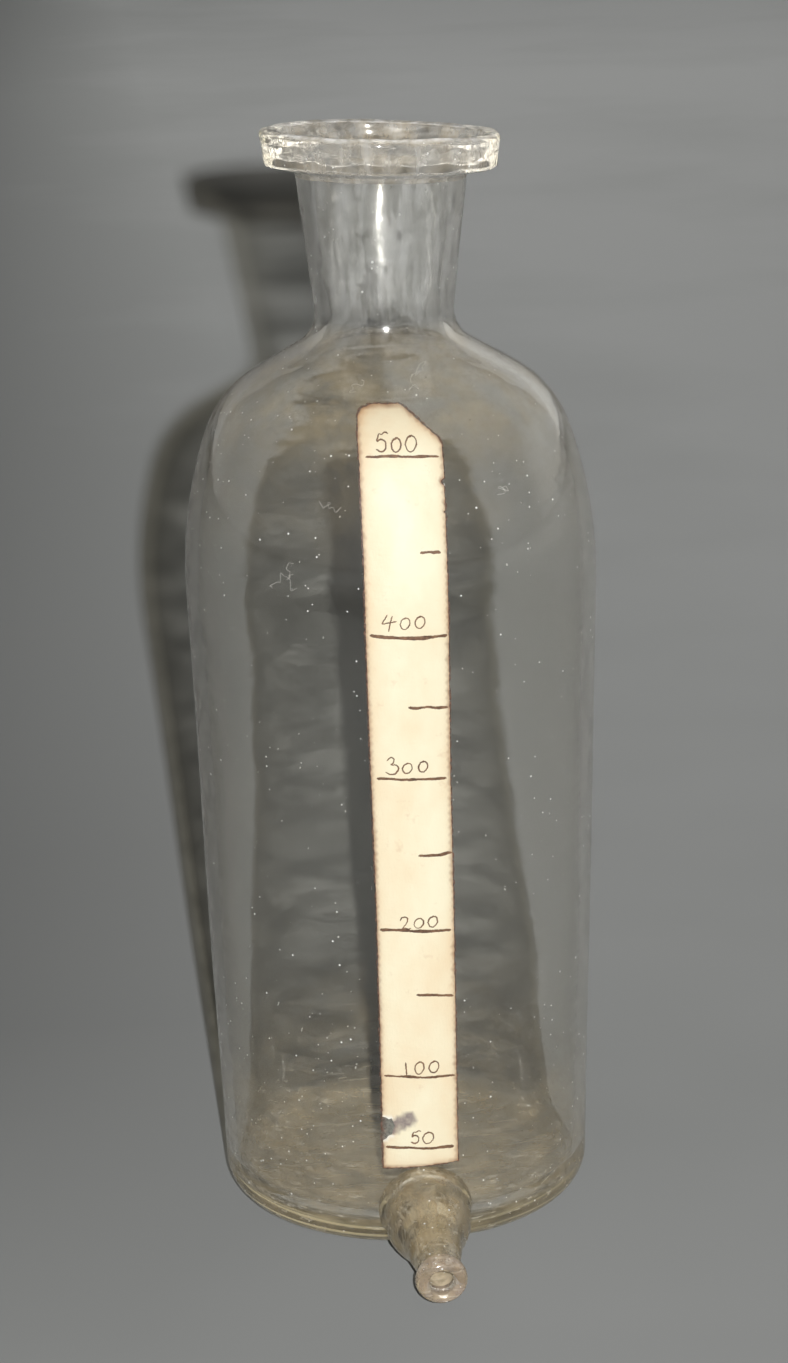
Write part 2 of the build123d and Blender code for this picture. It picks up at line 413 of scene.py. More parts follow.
outer_low = first_ring(outer_rings, outside, outside.radius, OUTER_PATCH_FOOT)
outer_high = first_ring(outer_rings, outside, outside.height, PATCH_TOP)
inner_low = first_ring(inner_rings, inside, inside.radius, INNER_PATCH_FOOT)
inner_high = inner_low + outer_high - outer_low
outer_edge, outer_place = patch_frame(outer_rings, outer_low, outer_high)
inner_edge, inner_place = patch_frame(inner_rings, inner_low, inner_high)
from_root = outer_spot(*outer_place) - nozzle_root
nozzle_turns = np.arctan2(from_root @ nozzle_up, from_root @ nozzle_across)


def make_bottle():
    """Floor, wall, shoulder and neck, with the hole that the nozzle covers."""
    shell = Shell()
    outer, outer_row = wall_rows(shell, outer_rings, outer_spot, outer_low, outer_high, outer_edge)
    inner, inner_row = wall_rows(shell, inner_rings, inner_spot, inner_low, inner_high, inner_edge)
    shell.fan((0, 0, 0), outer[0])
    shell.fan((0, 0, FLOOR), inner[0])
    shell.strip(outer[-1], inner[-1], joint=True)

    _, *foot = circle_on(outside, NOZZLE_FOOT)
    _, *hole = circle_on(outside, WALL_HOLE_RADIUS)
    _, *inner_hole = circle_on(inside, WALL_HOLE_RADIUS)
    foot_row = spread(shell, outer_spot, outer_place, foot, outer_row, 6)
    hole_row = spread(shell, outer_spot, foot, hole, foot_row, 4, joint=True)
    inner_hole_row = spread(shell, inner_spot, inner_place, inner_hole, inner_row, 8)
    shell.strip(hole_row, inner_hole_row)
    return shell


def ring_shell(loop, spot, joints):
    """A closed ring: a loop of points carried round. joints names the loop's joint stretches."""
    shell = Shell()
    shell.wrap([shell.row(spot(radius, place)) for radius, place in loop], joints)
    return shell


def make_lip():
    """The thick flared lip, hollowed like a shallow cup, with soft fire-polished edges."""
    bore, neck = float(inside.radius[-1]), float(outside.radius[-1])
    start = neck_end + JOINT_GAP
    loop = [(bore, start), ((bore + neck) / 2, start), (neck, start)]
    line = Outline((neck, start), radians(90 - NECK_LEAN))
    line.arc(1.2, -radians(52))
    line.to(LIP_UNDERSIDE[0], neck_end + LIP_UNDERSIDE[1])
    line.arc(1.1, radians(86) - line.heading)
    line.to(LIP_RADIUS - 0.05, lip_top.z - 1.35)
    line.arc(1.3, pi - radians(6) - line.heading)
    line.to(MOUTH_RADIUS + 0.55, lip_top.z - 0.12)
    line.arc(0.55, radians(70))
    knee = line.points[-1]
    cup = bezier(knee, (MOUTH_RADIUS - 0.9, neck_end + 4.2), (bore + 1.6, neck_end + 2.6),
                 (bore, start), 16)
    outer_path = Path(line.points)
    loop += [*zip(*outer_path.at(outer_path.rings()[1:])), *cup[1:-1]]
    count = 2 * COLUMNS
    angles = np.arange(count) * 2 * pi / count

    def spot(radius, height):
        points = around(np.full(count, radius), height, angles)
        free = ease(0.2, 2.5, height - neck_end)
        sway = 0.25 * waves(points, 9, 26, seed=21) + 0.13 * waves(points, 4, 9, seed=23) - 0.25
        points[:, :2] *= (1 + free * np.minimum(sway, 0.0) / LIP_RADIUS)[:, None]
        dips = np.abs(waves(points, 14, 40, seed=22)), np.abs(waves(points, 4, 9, seed=24))
        points[:, 2] -= free * (0.2 * dips[0] + 0.08 * dips[1])
        return points

    return ring_shell(loop, spot, joints={0, 1})


def bezier(start, first, second, end, count):
    share = np.linspace(0, 1, count + 1)[:, None]
    start, first, second, end = np.array((start, first, second, end), float)
    return [tuple(p) for p in start * (1 - share) ** 3 + 3 * first * share * (1 - share) ** 2
            + 3 * second * share**2 * (1 - share) + end * share**3]


def nozzle_spot(radius, distance, turns=nozzle_turns):
    """Points round the nozzle's axis."""
    across = (radius * np.cos(turns))[:, None]
    up = (radius * np.sin(turns))[:, None]
    along = (distance + 0 * turns)[:, None]
    return nozzle_root + nozzle_across * across + nozzle_up * up + nozzle_axis * along


def nozzle_radius(distance):
    """Outer radius of the nozzle: a smooth line through its measured shape."""
    places, radii = np.array(NOZZLE_SHAPE, float).T
    slopes = np.gradient(radii, places)
    k = np.clip(np.searchsorted(places, distance) - 1, 0, len(places) - 2)
    width = places[k + 1] - places[k]
    s = (distance - places[k]) / width
    return (radii[k] * (1 + 2 * s) * (1 - s) ** 2 + slopes[k] * width * s * (1 - s) ** 2
            + radii[k + 1] * s * s * (3 - 2 * s) + slopes[k + 1] * width * s * s * (s - 1))


def make_nozzle():
    """The bell and its neck, welded to the wall round the hole."""
    shell = Shell()
    end = BEAD_START - JOINT_GAP
    foot, *_ = circle_on(outside, NOZZLE_FOOT)
    hole, *_ = circle_on(outside, WALL_HOLE_RADIUS)
    rows, bore_rows = [], []
    for share in np.concatenate([np.linspace(0, 0.12, 6), np.linspace(0.15, 1, 30)]):
        distance = foot + JOINT_GAP + (end - foot) * share
        weld = NOZZLE_WELD * np.exp(-(distance - foot) / NOZZLE_FOOT_FADE)
        radius = nozzle_radius(distance) + weld
        rows.append(shell.row(nozzle_spot(np.where(share == 0, NOZZLE_FOOT, radius), distance)))
    for share in np.linspace(1, 0, 26):
        distance = hole + JOINT_GAP + (end - hole) * share
        radius = WALL_HOLE_RADIUS + (BORE_RADIUS - WALL_HOLE_RADIUS) * ease(0, TAPER_LENGTH, distance)
        bore_rows.append(shell.row(nozzle_spot(radius, distance)))
    shell.stack(rows)
    shell.stack(bore_rows)
    shell.strip(rows[-1], bore_rows[0], joint=True)
    row = bore_rows[-1]
    for radius in np.linspace(WALL_HOLE_RADIUS, NOZZLE_FOOT, 6)[1:-1]:
        distance, *_ = circle_on(outside, radius)
        nearer = shell.row(nozzle_spot(radius, distance + JOINT_GAP))
        shell.strip(row, nearer, joint=True)
        row = nearer
    shell.strip(row, rows[0], joint=True)
    return shell


def make_bead():
    """The bead at the nozzle's tip: a rolled ring of glass, a little wider than it is tall."""
    start, dish = BEAD_START + JOINT_GAP, NOZZLE_LENGTH - BEAD_DISH
    outer = bezier((float(nozzle_radius(BEAD_START)), start), (BEAD_RADIUS - 0.1, start - 0.1),
                   (BEAD_RADIUS + 0.35, start + 1.6), (BEAD_RADIUS - 0.25, start + 2.7), 10)
    face = bezier(outer[-1], (BEAD_RADIUS - 0.6, NOZZLE_LENGTH + 0.05),
                  (BORE_RADIUS + 0.25, NOZZLE_LENGTH + 0.1), (BORE_RADIUS, dish), 12)
    bore = [(BORE_RADIUS, start + (dish - start) * share) for share in (0.66, 0.33, 0.0)]
    loop = outer + face[1:] + bore
    turns = np.arange(BEAD_COLUMNS) * 2 * pi / BEAD_COLUMNS

    def spot(radius, distance):
        points = nozzle_spot(radius, distance, turns)
        squeeze = 0.07 * ease(0.3, 1.6, distance - start) * ease(2.2, 3.6, radius)
        rise = (points - nozzle_root) @ nozzle_up
        return points - nozzle_up * (rise * squeeze)[:, None]

    return ring_shell(loop, spot, joints={len(loop) - 1})


# ---- materials
def fill_nodes_of(owner, clear=True):
    """Starts on the nodes of a material, world or lamp: the functions below add to them."""
    global tree
    owner.use_nodes = True
    tree = owner.node_tree
    if clear:
        tree.nodes.clear()


def new_material(name):
    material = bpy.data.materials.new(name)
    fill_nodes_of(material)
    return material


def node(kind, inputs=None, **settings):
    """The outputs of a new shader node. Its inputs are values or other nodes' sockets."""
    made = tree.nodes.new("ShaderNode" + kind)
    for name, value in settings.items():
        setattr(made, name, value)
    for name, value in (inputs or {}).items():
        if isinstance(value, bpy.types.NodeSocket):
            tree.links.new(value, made.inputs[name])
        else:
            made.inputs[name].default_value = value
    return made.outputs


def maths(operation, *values):
    return node("Math", dict(enumerate(values)), operation=operation)[0]


def times(product, *values):
    for value in values:
        product = maths("MULTIPLY", product, value)
    return product


def vectors(operation, *values):
    """Vector maths, which gives a number for a length or a dot product."""
    made = node("VectorMath", dict(enumerate(values)), operation=operation)
    return made["Value" if operation in ("LENGTH", "DOT_PRODUCT") else "Vector"]


def place_of(kind="Object"):
    return node("TexCoord")[kind]


def part_of(vector, axis):
    return node("SeparateXYZ", {0: vector})[axis]


def painted(name):
    """A value painted on the mesh."""
    return node("Attribute", attribute_name=name)["Fac"]


def levels(value, low, high, to_low=0.0, to_high=1.0, **settings):
    inputs = {0: value, 1: low, 2: high, 3: to_low, 4: to_high}
    return node("MapRange", inputs, **settings)[0]


def noise_at(scale, stretch=EVEN, detail=2.0, roughness=0.5, distortion=0.0):
    """Noise in the piece's own space, with features of about 1 / scale metres."""
    moved = node("Mapping", {"Vector": place_of(), "Scale": stretch})[0]
    inputs = {"Vector": moved, "Scale": scale, "Detail": detail, "Roughness": roughness,
              "Distortion": distortion}
    return node("TexNoise", inputs)[0]


def patchy(scale, detail, roughness, *span, stretch=EVEN):
    """A share that varies with noise. span: the noise's low and high level, the shares there."""
    return levels(noise_at(scale, stretch, detail, roughness), *span)


def blend(share, first, second, mode="MIX"):
    inputs = {0: share, 6: first, 7: second}
    return node("Mix", inputs, data_type="RGBA", blend_type=mode)[2]


def mix(share, first, second):
    return node("MixShader", {0: share, 1: first, 2: second})[0]


def specks(scale, size, share):
    """Small round specks scattered over a surface: share of the cells hold one."""
    cells = node("TexVoronoi", {"Vector": place_of(), "Scale": scale})
    parts = node("SeparateColor", {"Color": cells["Color"]})
    reach = levels(parts[0], 0, 1, 0.25 * size, size)
    inside_reach = maths("LESS_THAN", cells["Distance"], reach)
    return times(inside_reach, maths("LESS_THAN", parts[1], share))


def finish_material(colour, roughness, **inputs):
    """Ends a material in one plain surface."""
    inputs = {"Base Color": colour, "Roughness": roughness, **inputs}
    node("OutputMaterial", {"Surface": node("BsdfPrincipled", inputs)[0]})


# Coats of dirt and wear, and coats that paint highlights and light: the noise's scale, detail,
# roughness, low and high level, the cover there, then the coat's colour, and any stretch.
COATS = {
    "haze": ((45, 4.0, 0.7, 0.3, 0.75, 0.002, 0.018), (0.66, 0.60, 0.48)),
    "settled": ((130, 5.0, 0.75, 0.40, 0.62, 0.08, 0.30), (0.62, 0.48, 0.26)),
    "crust": ((500, 3.0, 0.6, 0.35, 0.65, 0.35, 0.75), (0.88, 0.72, 0.50)),
    "rim_chips_and_highlight": ((420, 3.0, 0.6, 0.38, 0.62, 0.10, 0.65), (0.97, 0.95, 0.92)),
    "painted_streaks": ((380, 3.0, 0.7, 0.40, 0.68, 0.04, 0.27), (0.82, 0.82, 0.80), (1, 1, 0.12)),
    "scum": ((110, 5.0, 0.75, 0.42, 0.62, 0.08, 0.32), (0.62, 0.50, 0.31), (1, 1, 2.6)),
    "scratches": ((1100, 2.0, 0.6, 0.58, 0.70, 0.0, 0.30), (0.86, 0.80, 0.66), (0.06, 0.5, 1.2)),
}
BLOOM_AND_GLOW_NOISE = (260, 4.0, 0.65, 0.36, 0.64)
SPECK_COLOUR = (0.95, 0.95, 0.91)

# Where the coats lie: heights over the floor, or distance from the nozzle's axis, in metres.
WORN_HIGHLIT_RIM = (0.1955, 0.1965)
PAINTED_STREAK_NECK = (0.158, 0.170)
LOW_SCUM = (0.002, 0.036)
DUSTY_FOOT = (0.055, 0.015)
DUSTY_SHOULDER = (0.120, 0.148)
LIT_CRUSTED_BORE = (2.45 * MM, 2.75 * MM)

# Rays reflected inside thick glass more often than this are caught: at each inner hit they meet a painted
# glint, an emission, by this share.
CAUGHT_BOUNCES = 1.5
PAINTED_GLINT_SHARE = 0.6


def glass_material(name, ripple, tint_density, gloss, painted_glints, veil, bloom_and_glow=None, bloom_and_glow_colour=None,
                   lit_deposit=False, worn_highlit_rim=False):
    """Old clear glass: straw where it is thick, rippled, thinly dusted. The arguments give the ripples'
    depth in metres, the share of soft reflection, the strength of the painted glints (an emission on
    light caught inside), the shade cast at a surface's middle and edge, and the least and most cover
    of a milky bloom, lit as if it faced the flash so that it also paints light. One flag lines the
    nozzle's bore with pale residue that also paints the light in it; another whitens the top edge
    with wear and a painted highlight line."""
    material = new_material(name)
    height = maths("ADD", noise_at(50, (1, 1, 4)), times(noise_at(260, (1, 1, 1.6), 1.0), 0.1))
    bump = node("Bump", {"Height": height, "Distance": ripple})[0]
    clear = node("BsdfGlass", {"Color": (0.985, 0.985, 0.98, 1), "Roughness": 0.0, "IOR": 1.5,
                               "Normal": bump})[0]
    sheen = node("BsdfGlossy", {"Color": (1, 1, 1, 1), "Roughness": 0.12, "Normal": bump})[0]
    surface = mix(gloss, clear, sheen)

    # Dirt, and the coats that paint light, lie on the outside: a ray inside the glass doesn't meet them.
    outside_hit = maths("SUBTRACT", 1.0, node("NewGeometry")["Backfacing"])
    # A fixed normal toward the flash: coats shaded with it are lit as if they faced the flash wherever they
    # lie, which paints light on them.
    front = node("CombineXYZ", {"Y": -0.95, "Z": 0.3})[0]

    def cover(colour, *shares, **toward):
        coat = node("BsdfDiffuse", {"Color": colour + (1,), **toward})[0]
        return mix(times(*shares, outside_hit), surface, coat)

    def coated(coat, *shares, **toward):
        noise, colour, stretch = (*COATS[coat], EVEN)[:3]
        return cover(colour, patchy(*noise, stretch=stretch), *shares, **toward)

    up = part_of(place_of(), "Z")
    rise = part_of(place_of("Normal"), "Z")
    slant = node("LayerWeight", {"Blend": 0.5})["Facing"]
    surface = coated("haze", levels(maths("POWER", slant, 2.0), 0, 1, 1.0, 9.0))
    surface = coated("settled", levels(rise, 0.1, 0.75))
    # A milky bloom, shaded through the fixed normal, so that it also paints evenly lit brightness.
    if bloom_and_glow:
        surface = cover(bloom_and_glow_colour, patchy(*BLOOM_AND_GLOW_NOISE, *bloom_and_glow), Normal=front)
    # Pale residue in the nozzle's bore, which also paints the light that falls into the bore; lit through
    # the fixed normal toward the flash.
    if lit_deposit:
        from_root = vectors("SUBTRACT", place_of(), tuple(nozzle_root * MM))
        from_axis = vectors("LENGTH", vectors("CROSS_PRODUCT", from_root, tuple(nozzle_axis)))
        surface = coated("crust", levels(from_axis, *LIT_CRUSTED_BORE, 1.0, 0.0), Normal=front)
    # Whitish wear on the lip's top edge, which also paints the rim's bright highlight line; lit through the
    # fixed normal toward the flash.
    if worn_highlit_rim:
        surface = coated("rim_chips_and_highlight", levels(rise, 0.45, 0.85), levels(up, *WORN_HIGHLIT_RIM), Normal=front)
    # Painted highlights: pale vertical streaks over the neck.
    surface = coated("painted_streaks", levels(up, *PAINTED_STREAK_NECK))
    low = levels(up, *LOW_SCUM, 1.0, 0.0)
    surface = coated("scum", low)
    surface = coated("scratches", low)
    dusty = maths("MAXIMUM", levels(up, *DUSTY_FOOT), levels(up, *DUSTY_SHOULDER))
    share = times(patchy(60, 2.0, 0.5, 0.40, 0.66, 0.25, 1.0), levels(dusty, 0, 1, 0.5, 1.0))
    dots = maths("MAXIMUM", specks(330, 0.065, share), specks(640, 0.12, share))
    surface = cover(SPECK_COLOUR, dots, 0.9)

    path = node("LightPath")
    # Painted glints: an emission, lit by no lamp, on the inner hits of rays reflected inside the glass more
    # than once.
    caught = times(maths("GREATER_THAN", path["Glossy Depth"], CAUGHT_BOUNCES), PAINTED_GLINT_SHARE,
                   maths("SUBTRACT", 1.0, outside_hit))
    painted_glint_strength = patchy(700, 3.0, 0.65, 0.45, 0.58, 0.06 * painted_glints, 3.4 * painted_glints)
    painted_glint = node("Emission", {"Color": (1.0, 0.98, 0.95, 1), "Strength": painted_glint_strength})[0]
    surface = mix(caught, surface, painted_glint)
    material.cycles.emission_sampling = "NONE"

    # The shade that the glass casts: tinted transparency for shadow and diffuse rays.
    wisps = levels(noise_at(70, (0.35, 0.35, 3.2), 4.0, 0.6, 0.6), 0.41, 0.57)
    bright = tuple(min(1.0, 1.25 * value) for value in veil[0]) + (1,)
    dim = tuple(0.70 * value for value in veil[0]) + (1,)
    middle = blend(wisps, dim, bright)
    shade = blend(maths("POWER", slant, 1.6), middle, veil[1] + (1,))
    shade = node("BsdfTransparent", {"Color": shade})[0]
    indirect = maths("MAXIMUM", path["Is Shadow Ray"], path["Is Diffuse Ray"])
    surface = mix(indirect, surface, shade)

    open_joint = node("BsdfTransparent")[0]
    surface = mix(painted("joint_face"), surface, open_joint)
    body = node("VolumeAbsorption", {"Color": STRAW, "Density": tint_density})[0]
    node("OutputMaterial", {"Surface": surface, "Volume": body})
    return material


def gum_material():
    """A thin dried film of old gum, dark brown along its edge."""
    material = new_material("dried_gum")
    mottle = noise_at(1500, EVEN, 4.0, 0.65)
    colour = blend(levels(mottle, 0.35, 0.7), (0.22, 0.22, 0.19, 1), (0.31, 0.31, 0.265, 1))
    edge = painted("edge")
    colour = blend(edge, colour, (0.17, 0.075, 0.045, 1))
    inner = levels(mottle, 0.3, 0.75, 0.55, 0.85)
    crust = levels(mottle, 0.42, 0.58, 0.05, 0.9)
    cover = node("Mix", {0: edge, 2: inner, 3: crust}, data_type="FLOAT")[0]
    finish_material(colour, 0.35, Alpha=cover)
    return material


def paper_material():
    """Aged cream paper: fibres, foxing, and edges toned and browned by handling."""
    material = new_material("aged_paper")
    tone = times(painted("tone"), patchy(160, 3.0, 0.6, 0.3, 0.75, 0.35, 1.1, stretch=(1, 1, 0.5)))
    colour = (0.90, 0.83, 0.61, 1)
    for share, stain in (
        (patchy(90, 3.0, 0.6, 0.4, 0.75, stretch=(1, 1, 0.6)), (0.86, 0.70, 0.47, 1)),
        (patchy(260, 3.0, 0.7, 0.64, 0.76, 0.0, 0.3), (0.62, 0.40, 0.24, 1)),
        (maths("MINIMUM", tone, 0.9), (0.74, 0.46, 0.23, 1)),
        (times(painted("edge"), patchy(500, 3.0, 0.6, 0.25, 0.7, 0.4, 1.0)), (0.30, 0.16, 0.09, 1)),
        (times(painted("scuff"), patchy(700, 3.0, 0.6, 0.3, 0.7, 0.6, 1.0)), (0.235, 0.19, 0.185, 1)),
        (painted("torn"), (0.90, 0.86, 0.76, 1)),
    ):
        colour = blend(share, colour, stain)
    fibres = maths("ADD", noise_at(2500, (1, 1, 0.35), 3.0, 0.6), noise_at(1800, (0.4, 0.4, 1), 3.0, 0.6))
    bump = node("Bump", {"Height": fibres, "Strength": 0.5, "Distance": 0.0001})[0]
    finish_material(colour, 0.5, Normal=bump, **{"Specular IOR Level": 0.4})
    return material


def mottled_material(name, scale, detail, roughness, dark, pale, gloss):
    """A plain material whose colour varies with noise between dark and pale."""
    material = new_material(name)
    share = patchy(scale, detail, roughness, 0.3, 0.7)
    finish_material(blend(share, dark, pale), gloss)
    return material


# ---- strip, lines and figures
STRIP = ((-7.4, 17.0), (-0.5, 17.15), (6.0, 17.6), (6.05, 67.8), (5.9, 90.2), (6.2, 136.3),
         (6.2, 137.4), (5.9, 137.7), (6.2, 138.0), (6.25, 142.0), (5.7, 142.5), (5.75, 142.9), (6.3, 143.3),
         (6.25, 148.6), (5.7, 149.7), (0.2, 154.6), (-0.6, 155.0), (-5.2, 155.0), (-6.9, 154.4),
         (-7.7, 153.2), (-8.0, 150.0), (-8.15, 116.3), (-7.9, 94.5), (-7.5, 68.5), (-7.4, 41.8),
         (-7.4, 27.0), (-6.9, 26.9), (-6.3, 26.5), (-5.8, 26.7), (-5.5, 26.0), (-5.2, 25.2), (-5.6, 24.3),
         (-5.8, 23.5), (-6.5, 23.2), (-6.8, 22.7), (-7.35, 22.4))
TEAR = (-6.4, 24.7)
SCUFF = ((-5.9, 24.8), (-2.7, 26.5))
SCUFF_RADIUS = 1.4
STRIP_TOP_LEFT = (-7.8, 153.5)
EDGE_STAIN = (-7.4, 33.0)
GUM_MARGIN = 0.28
GRID = 0.7
EDGE_STEP = 0.45


def outward(points, offset):
    """Points seen from the front, as (x, z), laid on the glass and lifted off it by offset."""
    x, z = points.T
    lean = outside.lean_at(z)
    slant = np.sqrt(1 + lean**2)
    radius = outside.radius_at(z)
    angle = np.arcsin(x / radius)
    return around(radius + offset / slant, z - offset * lean / slant, angle)


def dense(corners, sway, seed):
    """A closed line of even points through corners, with a little seeded wander across it."""
    corners = np.array(corners, float)
    random = np.random.default_rng(seed)
    points = []
    for start, end in zip(corners, np.roll(corners, -1, 0)):
        length = norm(end - start)
        count = max(1, round(length / EDGE_STEP))
        for k in range(count):
            points.append(start + (end - start) * k / count + random.normal(0, sway, 2) * (k > 0))
    return np.array(points)


def distance_to(points, line):
    """Distance from each point to a closed line."""
    run = np.roll(line, -1, 0) - line
    offset = points[:, None] - line
    share = np.clip((offset * run).sum(-1) / np.maximum((run**2).sum(-1), 1e-12), 0, 1)
    return norm(offset - run * share[..., None], axis=-1).min(1)


def within(points, line):
    """Whether each point lies inside a closed line."""
    x, z = points.T[:, :, None]
    (x0, z0), (x1, z1) = line.T, np.roll(line, -1, 0).T
    with np.errstate(divide="ignore", invalid="ignore"):
        crossed = ((z0 > z) != (z1 > z)) & (x < x0 + (x1 - x0) * (z - z0) / (z1 - z0))
    return crossed.sum(1) % 2 == 1


def sheet_piece(name, edge_line, depth, relief=0.0):
    """A closed thin sheet on the glass, outlined by edge_line, between two depths. Also gives
    its points from the front, and their distances to the edge."""
    low, high = edge_line.min(0), edge_line.max(0)
    columns, rows = (np.arange(low[k], high[k], GRID) for k in (0, 1))
    grid = np.stack(np.meshgrid(columns, rows), -1).reshape(-1, 2)
    grid[:, 0] += (np.round((grid[:, 1] - low[1]) / GRID) % 2) * GRID / 2
    grid = grid[within(grid, edge_line)]
    grid = grid[distance_to(grid, edge_line) > 0.45 * EDGE_STEP]
    flat = np.concatenate([edge_line, grid])
    count = len(edge_line)
    found = delaunay_2d_cdt([Vector(p) for p in flat], [], [list(range(count))], 1, 1e-6)
    flat = np.array([tuple(p) for p in found[0]])
    triangles = found[2]
    lift = relief * waves(np.pad(flat, ((0, 0), (0, 1))), 4, 18, seed=31)
    front = outward(flat, depth[1] + lift - relief)
    back = outward(flat, depth[0])
    total = len(flat)
    ends = {(t[k], t[k - 2]): True for t in triangles for k in range(3)}
    border = [(a, b) for a, b in ends if (b, a) not in ends]
    faces = [tuple(t) for t in triangles] + [tuple(total + k for k in reversed(t)) for t in triangles]
    faces += [(b, a, total + a, total + b) for a, b in border]
    mesh = bpy.data.meshes.new(name)
    mesh.from_pydata((settle(np.concatenate([front, back])) * MM).tolist(), [], faces)
    return mesh, flat, distance_to(flat, edge_line)


def paint(mesh, name, front, back):
    """Paints values on a sheet's front and back."""
    values = np.concatenate([front, back]).astype(np.float32)
    mesh.attributes.new(name, "FLOAT", "POINT").data.foreach_set("value", values)


def make_paper(material):
    line = dense(STRIP, sway=0.03, seed=41)
    mesh, flat, near = sheet_piece("paper_strip", line, PAPER, relief=0.02)
    from_tear = norm(flat - TEAR, axis=1)
    from_scuff = distance_to(flat, np.array(SCUFF)) / SCUFF_RADIUS
    torn = (1 - ease(0.15, 0.5, near)) * (1 - ease(2.3, 3.0, from_tear)) * ease(0.8, 1.1, from_scuff)
    corner = norm(flat - STRIP_TOP_LEFT, axis=1)
    stain = norm((flat - EDGE_STAIN) / (1, 2.5), axis=1)
    tone = 0.5 * np.exp(-near / 0.9) + np.exp(-corner / 3.0) + 0.9 * np.exp(-stain / 1.6)
    scuff = 1 - ease(0.75, 1.15, from_scuff)
    paint(mesh, "edge", np.exp(-near / 0.25) * (1 - torn), 0 * near + 0.7)
    paint(mesh, "tone", tone, tone)
    paint(mesh, "torn", torn, torn)
    paint(mesh, "scuff", scuff * (1 - torn), 0 * scuff)
    return finish_mesh(mesh, material, 40)


def make_gum(material):
    """The film under the strip, a little proud of its edges, bare where the paper is torn."""
    line = np.array([p for p in STRIP if not (p[0] < -4 and 22 < p[1] < 27)])
    middle = (line.max(0) + line.min(0)) / 2
    outward_side = np.sign(line - middle)
    at_ends = (line[:, 1] < 20) | (line[:, 1] > 149)
    line[:, 0] += outward_side[:, 0] * GUM_MARGIN
    line[:, 1] += np.where(at_ends, outward_side[:, 1] * GUM_MARGIN, 0)
    mesh, _, near = sheet_piece("gum_skin", dense(line, sway=0.07, seed=42), GUM)
    edge = np.exp(-near / 0.5)
    paint(mesh, "edge", edge, edge)
    return finish_mesh(mesh, material, 40)


FIGURE_PEN = 0.23

# Lint: place from the front, and half its spread.
LINT_RADIUS = 0.022
LINT = ((-22.0, 125.5, 2.6), (-20.5, 127.5, 1.6), (-13.5, 139.0, 2.0), (3.5, 158.5, 1.8), (-7.0, 157.5, 1.5),
        (17.0, 140.0, 1.2))

# The numbered lines: ends (x, z), middle sag, pen's width, and then each figure's left edge,
# foot's height over the line, width and height.
SCALE = {
    "500": (((-6.9, 147.2), (5.6, 146.7), 0.1, 0.42),
            ((-5.1, 1.0, 2.3, 3.0), (-2.45, 0.9, 1.7, 2.15), (-0.05, 0.85, 1.95, 2.5))),
    "400": (((-7.5, 117.1), (5.8, 116.6), -0.45, 0.62),
            ((-5.3, 0.9, 2.4, 3.0), (-2.3, 1.25, 1.7, 2.0), (0.2, 1.3, 1.8, 2.1))),
    "300": (((-6.9, 91.2), (5.2, 90.6), 0.0, 0.45),
            ((-5.4, 1.0, 2.3, 3.1), (-2.5, 1.1, 1.75, 1.85), (0.3, 1.2, 1.65, 1.95))),
    "200": (((-7.0, 63.0), (5.5, 62.3), -0.1, 0.5),
            ((-3.5, 0.3, 1.9, 2.3), (-1.05, 0.45, 1.7, 1.85), (1.4, 0.5, 1.75, 2.0))),
    "100": (((-6.9, 35.1), (5.7, 34.3), -0.1, 0.42),
            ((-3.3, 0.35, 0.7, 2.5), (-1.5, 0.5, 1.7, 2.35), (1.05, 0.6, 1.8, 2.2))),
    "50": (((-6.9, 21.2), (5.3, 20.5), -0.1, 0.5),
           ((-2.5, 0.85, 1.9, 2.45), (-0.35, 0.7, 2.0, 2.2))),
}
NUMBERED = [rule for rule, _ in SCALE.values()]

# The lines halfway between them.
HALFWAY = (
    ((1.5, 131.2), (5.1, 131.0), 0.0, 0.5),
    ((-1.2, 104.0), (5.7, 103.5), 0.05, 0.5),
    ((0.0, 76.7), (5.9, 76.8), -0.3, 0.5),
    ((-0.9, 50.4), (5.7, 49.8), 0.0, 0.5),
)

# Figures as pen strokes in a box of 100 by 100.
STROKES = {
    "0": (((62, 96), (24, 86), (2, 45), (22, 6), (62, 3), (97, 42), (90, 84),
           (56, 100), (34, 90)),),
    "1": (((30, 100), (42, 50), (55, 0)),),
    "2": (((0, 72), (24, 100), (66, 94), (66, 62), (34, 22), (14, 0)),
          ((14, 0), (45, 10), (75, 2), (100, 10))),
    "3": (((12, 80), (42, 100), (66, 88), (58, 66), (40, 56)),
          ((40, 56), (86, 52), (98, 28), (72, 4), (36, 0), (0, 14))),
    "4": (((36, 100), (12, 68), (0, 48), (45, 52), (100, 60)),
          ((70, 94), (55, 50), (42, 0))),
    "5": (((30, 92), (14, 55), (42, 64), (74, 50), (72, 16), (40, 0), (2, 14)),
          ((30, 92), (55, 90), (76, 100), (100, 92))),
}


def smooth_line(points, step=0.12):
    """A Catmull-Rom curve through points, as even steps."""
    points = np.array(points, float)
    padded = np.concatenate([[2 * points[0] - points[1]], points, [2 * points[-1] - points[-2]]])
    curve = []
    for a, b, c, d in zip(padded, padded[1:], padded[2:], padded[3:]):
        count = max(2, ceil(norm(c - b) / step))
        for k in range(count):
            t = k / count
            curve.append(0.5 * (2 * b + (c - a) * t + (2 * a - 5 * b + 4 * c - d) * t**2
                                + (3 * b - a - 3 * c + d) * t**3))
    curve.append(points[-1])
    return np.array(curve)


def unit(vectors):
    return vectors / norm(vectors, axis=1)[:, None]


